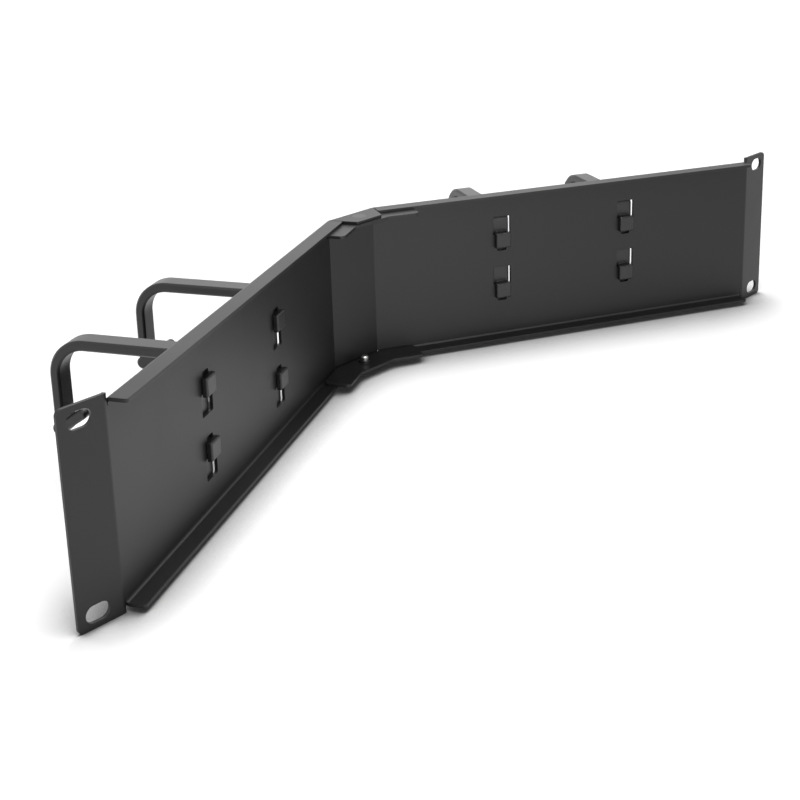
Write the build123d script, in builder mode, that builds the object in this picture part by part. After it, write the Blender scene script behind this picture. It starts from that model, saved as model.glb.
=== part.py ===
from build123d import *
from math import atan2, cos, degrees, hypot, radians, sin, tan
import os

# Angled cable management panel, two rack units high.
# Frame: +Z up, the point of the V towards -Y (the front, where the cable rings are).
# The ears' rear faces lie in the plane Y = 0, and the origin is the centre of the rack slots there.

# Rack interface
rack_width = 482.6
rack_height = 88.1
rack_slot_inset_x = 8.75
rack_slot_inset_z = 5.95
rack_slot_length = 10.5
rack_slot_height = 7.0

# Folded sheet
sheet = 1.5
ear_width = 19.8
ear_corner = 2.5
ear_return = 1.2
ear_overhang = 2.05
wing_angle = 26.8
centre_width = 31.7
inner_bend = 1.0
wing_flange_depth = 8.0
centre_flange_depth = 14.2
flange_corner = 1.2
relief_width = 0.6
relief_depth = 3.0

# Hook slots in the wings, wide where a hook goes in and narrow where it locks
ring_station = 79.5
ring_pitch = 76.5
slot_pitch = 29.0
slot_offset = 3.5
slot_entry_width = 10.2
slot_entry_height = 10.1
slot_lock_width = 5.4
slot_lock_height = 9.5
slot_corner = 0.8

# Cable ring
ring_width = 10.2
ring_strap = 4.6
ring_reach = 71.0
ring_rise = 30.5
ring_drop = 33.0
ring_shoulder = 17.0
ring_root = 6.2
ring_lower_reach = 47.0
ring_leg_drop = 11.5
ring_edge = 0.9
bead_diameter = 6.2
bead_proud = 1.5
lip_reach = 10.9
lip_rise = 8.0
hook_width = 8.6
hook_height = 8.4
hook_thickness = 2.5
hook_edge = 0.5

# Tie plates and their screws
tie_depth = 15.8
tie_reach = 21.0
tie_corner = 2.5
screw_set_back = 6.4
screw_diameter = 4.0
screw_length = 6.3
head_diameter = 7.5
recess_length = 3.6
recess_width = 0.9
recess_depth = 1.3
tip_chamfer = 0.5
collar_diameter = 6.4
collar_height = 1.2

# Clearances
slide_gap = 0.3
thread_gap = 0.05
seat_gap = 0.3
hook_play = 2.1

# Worked out from the sizes above
outer_bend = inner_bend + sheet
wing_slope = tan(radians(wing_angle))
ear_bend_x = rack_width / 2 - ear_width
half_centre = centre_width / 2
wing_run = ear_bend_x - half_centre
depth = wing_run * wing_slope
wing_length = wing_run / cos(radians(wing_angle))
body_height = rack_height - 2 * ear_overhang
half_body = body_height / 2
rack_slot_pitch_x = rack_width - 2 * rack_slot_inset_x
rack_slot_pitch_z = rack_height - 2 * rack_slot_inset_z
stations = (ring_station, ring_station + ring_pitch)
slot_height = slot_entry_height + slot_lock_height
hook_rest = slot_offset - slot_height / 2 + hook_play + hook_height / 2
neck_corner = slot_corner - slide_gap
screw_y = screw_set_back - depth

os.makedirs("parts", exist_ok=True)


def wing_direction(side):
    """Unit vector along a wing from its ear to the centre, side being 1 at +X and -1 at -X."""
    return Vector(-side * cos(radians(wing_angle)), -sin(radians(wing_angle)), 0)


def wing_outward(side):
    """Unit vector square to a wing, pointing to the front."""
    return Vector(side * sin(radians(wing_angle)), -cos(radians(wing_angle)), 0)


def wing_point(side, along, out=0):
    """Point at mid height on a wing's rear face, or out in front of it."""
    ear_bend = Vector(side * ear_bend_x, 0, 0)
    return ear_bend + wing_direction(side) * along + wing_outward(side) * out


def wing_face(side, along):
    """Plane of a wing's rear face, the same on both wings after half a turn about Y."""
    return Plane(origin=wing_point(side, along), x_dir=wing_direction(side), z_dir=wing_outward(side))


def wing_section(side, along):
    """Plane across a wing, with x to the front and y up."""
    outward = wing_outward(side)
    return Plane(origin=wing_point(side, along), x_dir=outward, z_dir=outward.cross(Vector(0, 0, 1)))


def plan_corner(side, back):
    """Where lines a distance behind the rear faces of the centre and a wing meet, in plan."""
    return (side * (half_centre - back * tan(radians(wing_angle / 2))), back - depth)


def channel_outline(flange_depth):
    """Section of the sheet with a flange bent to the rear at the top and at the bottom."""
    top = half_body - sheet
    rear = FilletPolyline(
        (-flange_depth, top),
        (0, top),
        (0, -top),
        (-flange_depth, -top),
        radius=inner_bend,
    )
    offset(rear, amount=sheet, side=Side.LEFT)


# Centre of the panel: a web with two flanges whose ends follow the wings' normals
with BuildPart() as centre_channel:
    centre_section = Plane(origin=(half_centre, -depth, 0), x_dir=(0, -1, 0), z_dir=(-1, 0, 0))
    with BuildSketch(centre_section):
        with BuildLine():
            channel_outline(centre_flange_depth)
        make_face()
    extrude(amount=centre_width)
    with BuildSketch(Plane.XY.offset(-half_body)):
        with BuildLine():
            near_half = half_centre - centre_flange_depth * wing_slope
            far_half = half_centre + sheet * wing_slope
            near_edge = centre_flange_depth - depth
            far_edge = -depth - sheet
            Polyline(
                (far_half, far_edge),
                (near_half, near_edge),
                (-near_half, near_edge),
                (-far_half, far_edge),
                close=True,
            )
        make_face()
    extrude(amount=body_height, mode=Mode.INTERSECT)
    upright = centre_channel.edges().filter_by(Axis.Z)
    fillet(upright.group_by(Axis.Y)[-1], radius=flange_corner)


def wing_channel(side):
    """Wing with its two flanges, which stop short of the upright bends at both ends."""
    flange_start = ear_return + relief_width
    with BuildPart() as channel:
        with BuildSketch(wing_section(side, flange_start)):
            with BuildLine():
                channel_outline(wing_flange_depth)
            make_face()
        extrude(amount=wing_length - relief_width - flange_start, dir=wing_direction(side))
        to_rear = Axis(wing_point(side, 0), -wing_outward(side))
        flange_tips = channel.faces().sort_by(to_rear)[-2:]
        fillet(flange_tips.edges().filter_by(Axis.Z), radius=flange_corner)
    return channel.part


def bent_ear(side):
    """Ear as high as the rack units it fills, up to just past its bend."""
    with BuildPart() as ear:
        with BuildSketch(Plane.XY.offset(-rack_height / 2)):
            with BuildLine():
                ear_rear = FilletPolyline(
                    (side * rack_width / 2, 0),
                    (side * ear_bend_x, 0),
                    wing_point(side, ear_return),
                    radius=outer_bend,
                )
                offset(ear_rear, amount=sheet, side=Side.LEFT if side > 0 else Side.RIGHT)
            make_face()
        extrude(amount=rack_height)
        outer_end = ear.faces().sort_by(Axis.X)[-1 if side > 0 else 0]
        fillet(outer_end.edges().filter_by(Axis.Y), radius=ear_corner)
    return ear.part


ears = [bent_ear(side) for side in (1, -1)]
wing_channels = [wing_channel(side) for side in (1, -1)]

# Panel: one folded sheet with ears, wings, centre, flanges, rack slots and hook slots
with BuildPart() as panel:
    # Strip through the four upright bends, which starts just outside the ears' bends
    with BuildSketch(Plane.XY.offset(relief_depth - half_body)):
        with BuildLine():
            strip_points = (
                (ear_bend_x + ear_return, 0),
                (ear_bend_x, 0),
                (half_centre, -depth),
                (-half_centre, -depth),
                (-ear_bend_x, 0),
                (-ear_bend_x - ear_return, 0),
            )
            bends = [outer_bend, inner_bend, inner_bend, outer_bend]
            rear_face = FilletPolyline(*strip_points, radius=bends)
            offset(rear_face, amount=sheet, side=Side.LEFT)
        make_face()
    extrude(amount=body_height - 2 * relief_depth)

    # Ears, wings with their flanges, and the centre
    for ear in ears:
        add(ear)
    for channel in wing_channels:
        add(channel)
    add(centre_channel.part)

    # Rack slots
    with BuildSketch(Plane.XZ):
        with GridLocations(rack_slot_pitch_x, rack_slot_pitch_z, 2, 2):
            SlotOverall(rack_slot_length, rack_slot_height)
    extrude(amount=sheet, mode=Mode.SUBTRACT)

    # Hook slots, turned half a turn from one wing to the other
    for side in (1, -1):
        for station in stations:
            with BuildSketch(wing_face(side, station)) as hook_slots:
                with Locations((0, slot_offset - slot_pitch / 2), (0, slot_offset + slot_pitch / 2)):
                    with Locations((0, -slot_entry_height / 2)):
                        Rectangle(slot_lock_width, slot_lock_height)
                    with Locations((0, slot_lock_height / 2)):
                        Rectangle(slot_entry_width, slot_entry_height)
                fillet(hook_slots.vertices(), radius=slot_corner)
            extrude(amount=sheet, mode=Mode.SUBTRACT)

    # Countersunk holes in the centre flanges
    for end in (1, -1):
        with Locations(Plane(origin=(0, screw_y, end * half_body), z_dir=(0, 0, end))):
            hole_radius = screw_diameter / 2 + thread_gap
            CounterSinkHole(hole_radius, head_diameter / 2 + thread_gap, depth=sheet)
panel.part.label = "panel"
export_step(panel.part, "parts/panel.step")


def tie_plate(end, label):
    """Plate inside the top (end 1) or bottom (end -1) flanges that bridges the two centre bends."""
    inner_edge = inner_bend + seat_gap
    arm_end = wing_length - tie_reach
    with BuildPart() as plate:
        with BuildSketch(Plane.XY.offset(end * (half_body - sheet))):
            with BuildLine():
                Polyline(
                    wing_point(1, arm_end, -inner_edge),
                    plan_corner(1, inner_edge),
                    plan_corner(-1, inner_edge),
                    wing_point(-1, arm_end, -inner_edge),
                    wing_point(-1, arm_end, -tie_depth),
                    plan_corner(-1, tie_depth),
                    plan_corner(1, tie_depth),
                    wing_point(1, arm_end, -tie_depth),
                    close=True,
                )
            make_face()
        extrude(amount=-end * sheet)
        upright = plate.edges().filter_by(Axis.Z)
        fillet(upright.sort_by(lambda edge: abs(edge.center().X))[-4:], radius=tie_corner)
        # Drawn collar that holds the thread
        with Locations(Plane(origin=(0, screw_y, end * (half_body - 2 * sheet)), z_dir=(0, 0, -end))):
            Cylinder(collar_diameter / 2, collar_height, align=(Align.CENTER, Align.CENTER, Align.MIN))
        with Locations(Plane(origin=(0, screw_y, end * (half_body - sheet)), z_dir=(0, 0, end))):
            sunk_radius = head_diameter / 2 - sheet + thread_gap
            CounterSinkHole(screw_diameter / 2 + thread_gap, sunk_radius, depth=sheet + collar_height)
    plate.part.label = label
    export_step(plate.part, f"parts/{label}.step")


def flange_screw(end, label):
    """Countersunk screw with a cross recess, flush in the top (end 1) or bottom (end -1) flange."""
    head_face = Plane(origin=(0, screw_y, end * half_body), z_dir=(0, 0, -end))
    head_height = (head_diameter - screw_diameter) / 2
    stand = (Align.CENTER, Align.CENTER, Align.MIN)
    with BuildPart(head_face) as screw:
        Cylinder(screw_diameter / 2, screw_length, align=stand)
        chamfer(screw.edges().sort_by(Axis(head_face.origin, head_face.z_dir))[-1], length=tip_chamfer)
        Cone(head_diameter / 2, screw_diameter / 2, head_height, align=stand)
        with BuildSketch():
            Rectangle(recess_length, recess_width)
            Rectangle(recess_width, recess_length)
        extrude(amount=recess_depth, mode=Mode.SUBTRACT)
    screw.part.label = label
    export_step(screw.part, f"parts/{label}.step")


def side_edges(solid, section):
    """Edges round the two outermost faces of a solid that was extruded both ways."""
    sides = solid.faces().sort_by(Axis(section.origin, section.z_dir))
    return sides[0].edges() + sides[-1].edges()


def ring_loop(section):
    """Strap of a ring, from its open lower arm up the wing and round to the leg."""
    back = sheet + slide_gap
    with BuildPart() as loop:
        with BuildSketch(section):
            with BuildLine():
                outline = FilletPolyline(
                    (ring_lower_reach, -ring_drop),
                    (back, -ring_drop),
                    (back, ring_rise),
                    (ring_reach, ring_rise),
                    (ring_reach, -ring_leg_drop),
                    radius=[ring_root, ring_root, ring_shoulder],
                )
                offset(outline, amount=ring_strap, side=Side.RIGHT)
            make_face()
            with Locations((ring_lower_reach, ring_strap / 2 - ring_drop)):
                Circle(ring_strap / 2)
        extrude(amount=ring_width / 2, both=True)
        chamfer(side_edges(loop, section), length=ring_edge)
    return loop.part


def ring_foot(section):
    """Bead along the end of a ring's leg, with the lip that leans inwards from it."""
    bead = Vector(ring_reach + bead_proud - bead_diameter / 2, -ring_leg_drop)
    tip = Vector(ring_reach - ring_strap / 2 - lip_reach, lip_rise - ring_leg_drop)
    with BuildPart() as foot:
        with BuildSketch(section):
            with Locations(bead):
                Circle(bead_diameter / 2)
            with Locations((bead + tip) / 2):
                lean = degrees(atan2(tip.Y - bead.Y, tip.X - bead.X))
                SlotCenterToCenter(hypot(tip.X - bead.X, tip.Y - bead.Y), ring_strap, rotation=lean)
        extrude(amount=ring_width / 2, both=True)
        chamfer(side_edges(foot, section), length=ring_edge)
    return foot.part


def cable_ring(side, station, label):
    """Moulded ring: strap with an open side, a foot at its free end, and two hooks."""
    outward = wing_outward(side)
    centre = wing_point(side, station) - Vector(0, 0, side * hook_rest)
    section = Plane(origin=centre, x_dir=outward, z_dir=outward.cross(Vector(0, 0, 1)))
    back = sheet + slide_gap
    with BuildPart() as ring:
        add(ring_loop(section))
        add(ring_foot(section))
        # Hooks through the wing: a neck, then a head wider than the narrow part of the slot
        neck_length = ring_strap / 2 + sheet + 2 * slide_gap
        root_centre = centre + outward * (back + ring_strap / 2)
        hook_root = Plane(origin=root_centre, x_dir=section.z_dir, z_dir=-outward)
        with BuildSketch(hook_root):
            with GridLocations(0, slot_pitch, 1, 2):
                RectangleRounded(slot_lock_width - 2 * slide_gap, hook_height, neck_corner)
        extrude(amount=neck_length)
        with BuildSketch(hook_root.offset(neck_length)):
            with GridLocations(0, slot_pitch, 1, 2):
                Rectangle(hook_width, hook_height)
        extrude(amount=hook_thickness)
        hook_heads = ring.faces().sort_by(Axis(centre, -outward))[-2:]
        chamfer(hook_heads.edges(), length=hook_edge)
    ring.part.label = label
    export_step(ring.part, f"parts/{label}.step")


tie_plate(1, "top_tie_plate")
tie_plate(-1, "bottom_tie_plate")
flange_screw(1, "top_screw")
flange_screw(-1, "bottom_screw")
cable_ring(1, stations[0], "right_outer_ring")
cable_ring(1, stations[1], "right_inner_ring")
cable_ring(-1, stations[1], "left_inner_ring")
cable_ring(-1, stations[0], "left_outer_ring")
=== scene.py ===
# %% [markdown]
# # An angled cable management panel
# This is a 19 inch rack panel that bends forward in a V, so that cables leave a row of sockets
# at a slant. It is one folded sheet of powder-coated steel with four plastic cable rings clipped
# into it. The solids come from the frame with every size already right, so the work here is
# about surfaces: what a powder coat, a moulded plastic and a zinc-plated screw do with light.

# %% Load the frame
from math import cos, radians, sin

import bpy
from mathutils import Matrix, Vector


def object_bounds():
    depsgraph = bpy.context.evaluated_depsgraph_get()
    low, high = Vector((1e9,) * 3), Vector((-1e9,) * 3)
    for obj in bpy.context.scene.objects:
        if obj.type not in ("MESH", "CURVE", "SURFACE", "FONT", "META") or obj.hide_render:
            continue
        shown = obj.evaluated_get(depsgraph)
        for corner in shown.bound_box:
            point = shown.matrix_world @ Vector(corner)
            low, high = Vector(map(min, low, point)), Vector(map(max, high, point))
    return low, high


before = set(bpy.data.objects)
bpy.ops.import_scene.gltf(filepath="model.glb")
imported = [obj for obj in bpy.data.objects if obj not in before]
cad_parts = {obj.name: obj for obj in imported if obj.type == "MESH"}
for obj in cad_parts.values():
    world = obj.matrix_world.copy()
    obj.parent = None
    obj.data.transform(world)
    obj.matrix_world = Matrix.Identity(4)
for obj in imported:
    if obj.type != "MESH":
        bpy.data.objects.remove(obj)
cad_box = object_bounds()
mm = 0.001
print("nodes:", sorted(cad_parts))

# %% [markdown]
# ## Camera
# The picture was taken from behind and above, off the right end of the panel. Its upright edges
# are parallel, as with a lens that was shifted far down. A shift that large was tried, and left
# the front and rear views blank, so this one is a quarter of the frame, and the camera dips for
# the rest. The price is that the near ear leans by nearly six degrees, where it is upright in
# the picture.

# %% Camera
camera_place = Vector((457.8, 380.6, 230.5)) * mm
camera_heading = radians(45.61)
camera_dip = radians(15.28)
camera_roll = radians(-1.78)
sensor_width = 36.0
focal_length = 59.71
frame_shift = (0.0, -0.25)


def add_camera():
    """Adds the camera and makes it the scene's own."""
    forward = Vector((-sin(camera_heading) * cos(camera_dip),
                      -cos(camera_heading) * cos(camera_dip),
                      -sin(camera_dip)))
    level = Vector((-cos(camera_heading), sin(camera_heading), 0))
    upward = level.cross(forward)
    right = level * cos(camera_roll) + upward * sin(camera_roll)
    up = upward * cos(camera_roll) - level * sin(camera_roll)
    bpy.ops.object.camera_add()
    camera = bpy.context.object
    axes = Matrix((right, up, -forward)).transposed()
    camera.matrix_world = Matrix.Translation(camera_place) @ axes.to_4x4()
    camera.data.sensor_width = sensor_width
    camera.data.lens = focal_length
    camera.data.shift_x, camera.data.shift_y = frame_shift
    bpy.context.scene.camera = camera
    return camera


camera = add_camera()
print("lens in mm:", camera.data.lens)

# %% [markdown]
# ## Helpers for materials
# Colours are written as people read them off a screen, in sRGB hex, and one function turns them
# to the linear values that the shader needs. A second adds any node, a third sets the two stops
# of a colour ramp, and the last starts a material. Patterns are drawn on Object coordinates, so
# their spacing is a real size in metres.

# %% Colour and node helpers


def linear(hex_colour):
    """Linear RGBA of an sRGB hex colour."""
    parts = [int(hex_colour[i:i + 2], 16) / 255 for i in (1, 3, 5)]
    return [p / 12.92 if p <= 0.04045 else ((p + 0.055) / 1.055) ** 2.4 for p in parts] + [1]


def add_node(tree, kind, settings=None, links=None):
    """Adds a node, sets its properties and sockets, and links its inputs."""
    node = tree.nodes.new(kind)
    for key, value in (settings or {}).items():
        if key in node.inputs:
            node.inputs[key].default_value = value
        else:
            setattr(node, key, value)
    for key, socket in (links or {}).items():
        tree.links.new(socket, node.inputs[key])
    return node


def set_stops(ramp, *stops):
    """Places and colours the two stops of a colour ramp."""
    for element, (position, hex_colour) in zip(ramp.color_ramp.elements, stops):
        element.position = position
        element.color = linear(hex_colour)


def new_material(name, settings):
    """Empty material with a surface shader, and Object coordinates to draw patterns with."""
    material = bpy.data.materials.new(name)
    material.use_nodes = True
    tree = material.node_tree
    tree.nodes.clear()
    shader = add_node(tree, "ShaderNodeBsdfPrincipled", settings)
    add_node(tree, "ShaderNodeOutputMaterial", links={"Surface": shader.outputs["BSDF"]})
    place = add_node(tree, "ShaderNodeTexCoord").outputs["Object"]
    return material, tree, shader, place


# %% [markdown]
# ## Black powder coat
# The sheet is sprayed with dry polyester powder and baked, and the powder flows into a skin with
# a fine orange peel: shallow bumps about a millimetre apart. It is a satin black, so it shows
# soft, wide highlights and no mirror image. Two patterns are used: a wide, weak one for the way
# the thickness wanders over the sheet, and a fine one for the peel. The skin also rounds the
# sharp edges of the sheet a little, and a bevel in the shader draws that without more faces.
# Polyester has an IOR of about 1.5, and the panel in the picture shines a little less.

# %% Black powder coat
coat_ior = 1.45
coat_gloss = {"To Min": 0.38, "To Max": 0.48}
cloud_spacing = 45 * mm
cloud_detail = 3.0
peel_spacing = 1.1 * mm
peel_detail = 2.0
peel_bump = {"Strength": 0.25, "Distance": 0.05 * mm}
coat_edge = {"samples": 4, "Radius": 0.35 * mm}


def powder_coat():
    """Satin black polyester powder on steel."""
    material, tree, shader, place = new_material("satin_black_powder_coat", {"IOR": coat_ior})
    clouds = add_node(tree, "ShaderNodeTexNoise",
                      {"Scale": 1 / cloud_spacing, "Detail": cloud_detail}, {"Vector": place})
    tint = add_node(tree, "ShaderNodeValToRGB", links={"Fac": clouds.outputs["Fac"]})
    set_stops(tint, (0, "#0e0d0d"), (1, "#131212"))
    peel = add_node(tree, "ShaderNodeTexNoise",
                    {"Scale": 1 / peel_spacing, "Detail": peel_detail}, {"Vector": place})
    edge = add_node(tree, "ShaderNodeBevel", coat_edge)
    bump = add_node(tree, "ShaderNodeBump", peel_bump,
                    {"Height": peel.outputs["Fac"], "Normal": edge.outputs["Normal"]})
    gloss = add_node(tree, "ShaderNodeMapRange", coat_gloss, {"Value": clouds.outputs["Fac"]})
    tree.links.new(tint.outputs["Color"], shader.inputs["Base Color"])
    tree.links.new(gloss.outputs["Result"], shader.inputs["Roughness"])
    tree.links.new(bump.outputs["Normal"], shader.inputs["Normal"])
    return material


coat = powder_coat()
print("finish of the sheet:", coat.name)

# %% [markdown]
# ## Moulded plastic
# The rings are moulded in black nylon. The mould was spark-eroded, which leaves a fine even
# grain, so the plastic is a little deeper and softer than the coat on the steel. The real grain
# is about a tenth of a millimetre and wouldn't show, so it is drawn at half a millimetre. The
# edges of a moulding are rounder than those of a sheet, so the bevel is wider here.

# %% Moulded plastic
nylon_surface = {"Roughness": 0.36, "IOR": 1.53}
flow_spacing = 18 * mm
flow_detail = 2.0
grain_spacing = 0.5 * mm
grain_detail = 2.0
grain_bump = {"Strength": 0.2, "Distance": 0.03 * mm}
moulded_edge = {"samples": 4, "Radius": 0.9 * mm}


def moulded_nylon():
    """Black nylon with the fine grain of a spark-eroded mould."""
    material, tree, shader, place = new_material("black_moulded_nylon", nylon_surface)
    flow = add_node(tree, "ShaderNodeTexNoise",
                    {"Scale": 1 / flow_spacing, "Detail": flow_detail}, {"Vector": place})
    tint = add_node(tree, "ShaderNodeValToRGB", links={"Fac": flow.outputs["Fac"]})
    set_stops(tint, (0, "#0b0b0b"), (1, "#101010"))
    grain = add_node(tree, "ShaderNodeTexNoise",
                     {"Scale": 1 / grain_spacing, "Detail": grain_detail}, {"Vector": place})
    edge = add_node(tree, "ShaderNodeBevel", moulded_edge)
    bump = add_node(tree, "ShaderNodeBump", grain_bump,
                    {"Height": grain.outputs["Fac"], "Normal": edge.outputs["Normal"]})
    tree.links.new(tint.outputs["Color"], shader.inputs["Base Color"])
    tree.links.new(bump.outputs["Normal"], shader.inputs["Normal"])
    return material


nylon = moulded_nylon()
print("finish of the rings:", nylon.name)

# %% [markdown]
# ## Screws
# The lower screw is bright zinc-plated steel, and its end shines inside the panel. The upper one
# is blackened steel. The black layer hides the metal, so its shader isn't metallic, and it is a
# little rougher. Both were tumbled with other screws, which leaves small uneven patches.

# %% Screw finishes
wear_spacing = 0.8 * mm
wear_detail = 3.0


def screw_finish(name, surface, hex_dark, hex_light):
    """Plated or blackened steel, a little uneven from the tumbling."""
    material, tree, shader, place = new_material(name, surface)
    wear = add_node(tree, "ShaderNodeTexNoise",
                    {"Scale": 1 / wear_spacing, "Detail": wear_detail}, {"Vector": place})
    tint = add_node(tree, "ShaderNodeValToRGB", links={"Fac": wear.outputs["Fac"]})
    set_stops(tint, (0, hex_dark), (1, hex_light))
    tree.links.new(tint.outputs["Color"], shader.inputs["Base Color"])
    return material


blackened = screw_finish("black_screw_steel", {"Metallic": 0.0, "Roughness": 0.4},
                         "#181818", "#242424")
zinc = screw_finish("bright_zinc", {"Metallic": 1.0, "Roughness": 0.3}, "#b4b4b0", "#d8d8d6")
print("finishes of the screws:", blackened.name, zinc.name)

# %% [markdown]
# ## Putting the finishes on
# Each solid keeps its own mesh, and only gets a material.

# %% Finishes on the solids


def dress(node, material):
    """Gives one solid its finish."""
    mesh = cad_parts[node].data
    mesh.materials.clear()
    mesh.materials.append(material)


for node in ("panel", "top_tie_plate", "bottom_tie_plate"):
    dress(node, coat)
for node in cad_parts:
    if node.endswith("_ring"):
        dress(node, nylon)
dress("top_screw", blackened)
dress("bottom_screw", zinc)
for node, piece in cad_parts.items():
    print(node, "wears", piece.data.materials[0].name)

# %% [markdown]
# ## What the camera and the gloss see
# The lamps stand close, so far from the panel the paper would turn grey. It gets some light of
# its own that grows with distance, and the world past its edge is white as well. Only rays from
# the camera, and rays that come by way of gloss or glass, see this. So the background is white,
# the gloss of the panel shows that white as it would in a studio, and the soft light on
# everything still comes from the lamps.

# %% Rays that see the white


def looked_at(tree):
    """One for a ray from the camera, or by way of gloss or glass, and zero for other light."""
    ray = add_node(tree, "ShaderNodeLightPath").outputs
    either = add_node(tree, "ShaderNodeMath", {"operation": "MAXIMUM"},
                      {0: ray["Is Camera Ray"], 1: ray["Is Glossy Ray"]})
    return add_node(tree, "ShaderNodeMath", {"operation": "MAXIMUM"},
                    {0: either.outputs["Value"], 1: ray["Is Transmission Ray"]}).outputs["Value"]


# %% [markdown]
# ## Floor
# The panel stands on its two ears on white paper. Close to what stands on it the paper has a
# soft grey band of painted shade, because little light gets in there, and ambient occlusion
# draws that band.

# %% Floor
floor_size = 8.0
paper_roughness = 0.9
nook_reach = {"samples": 8, "Distance": 40 * mm}
# the two stops of the painted shade: dark close to what stands on the paper, nearly white
# further off
painted_shade_dark = (0.45, "#404040")
painted_shade_light = (0.95, "#fcfcfc")
glow_by_distance = {"From Min": 300 * mm, "From Max": 1200 * mm, "To Min": 0.28, "To Max": 0.86}


def white_paper():
    """White paper with painted shade in its colour close to what stands on it."""
    material, tree, shader, place = new_material("white_paper", {"Roughness": paper_roughness})
    nook = add_node(tree, "ShaderNodeAmbientOcclusion", nook_reach)
    painted_shade = add_node(tree, "ShaderNodeValToRGB", links={"Fac": nook.outputs["AO"]})
    set_stops(painted_shade, painted_shade_dark, painted_shade_light)
    away = add_node(tree, "ShaderNodeVectorMath", {"operation": "LENGTH"}, {0: place})
    rise = add_node(tree, "ShaderNodeMapRange", glow_by_distance,
                    {"Value": away.outputs["Value"]})
    glow = add_node(tree, "ShaderNodeMath", {"operation": "MULTIPLY"},
                    {0: looked_at(tree), 1: rise.outputs["Result"]})
    # the painted shade colours both the paper and the glow that the camera and the gloss see
    tree.links.new(painted_shade.outputs["Color"], shader.inputs["Base Color"])
    tree.links.new(painted_shade.outputs["Color"], shader.inputs["Emission Color"])
    tree.links.new(glow.outputs["Value"], shader.inputs["Emission Strength"])
    return material


def add_floor():
    """White floor at the height of the ears' lower ends."""
    bpy.ops.object.select_all(action="DESELECT")
    bpy.ops.mesh.primitive_plane_add(size=floor_size)
    floor = bpy.context.object
    floor.name = "floor"
    floor.data.transform(Matrix.Translation((0, 0, cad_box[0].z)))
    floor.data.materials.append(white_paper())
    return floor


floor = add_floor()
print("floor:", floor.name, "at the height of", cad_box[0].z)

# %% [markdown]
# ## Lamps
# Four soft boxes light the panel, because its two wings face different ways. The key lamp hangs
# over the near end, the rear lamp is a weak one low behind the panel, the top lamp stands high
# past the far end, and the backdrop lamp lights the paper in front, which is the background of
# the picture.

# %% Lamps


def add_lamp(name, place, target, size, watts, spread=180):
    """Square soft box that points at a target, with a grid that can narrow its spread."""
    bpy.ops.object.light_add(type="AREA", location=place)
    lamp = bpy.context.object
    lamp.name = name
    lamp.rotation_euler = (Vector(target) - Vector(place)).to_track_quat("-Z", "Y").to_euler()
    lamp.data.size = size
    lamp.data.energy = watts
    lamp.data.spread = radians(spread)
    print("lamp:", name)


add_lamp("key_lamp", place=(0.16, 0.12, 0.52), target=(0.12, 0, 0), size=0.4, watts=2.35)
add_lamp("rear_lamp", place=(0.45, 0.95, 0.12), target=(0.04, -0.1, 0), size=0.35, watts=0.35,
         spread=50)
add_lamp("top_lamp", place=(-0.55, -0.28, 1.0), target=(0, 0, 0), size=0.5, watts=5.4)
add_lamp("backdrop_lamp", place=(-1.2, -1.5, 0.8), target=(0, 0, 0.1), size=1.3, watts=3.2)

# %% [markdown]
# ## World
# The world gives weak soft light from all around, and plain white to the rays that look at it.

# %% World
world_strength = {"To Min": 0.17, "To Max": 1.0}
world = bpy.data.worlds.new("studio")
bpy.context.scene.world = world
world.use_nodes = True
background = world.node_tree.nodes["Background"]
background.inputs["Color"].default_value = (1, 1, 1, 1)
strength = add_node(world.node_tree, "ShaderNodeMapRange", world_strength,
                    {"Value": looked_at(world.node_tree)})
world.node_tree.links.new(strength.outputs["Result"], background.inputs["Strength"])
bpy.context.scene.view_settings.view_transform = "Standard"
print("world:", world.name)
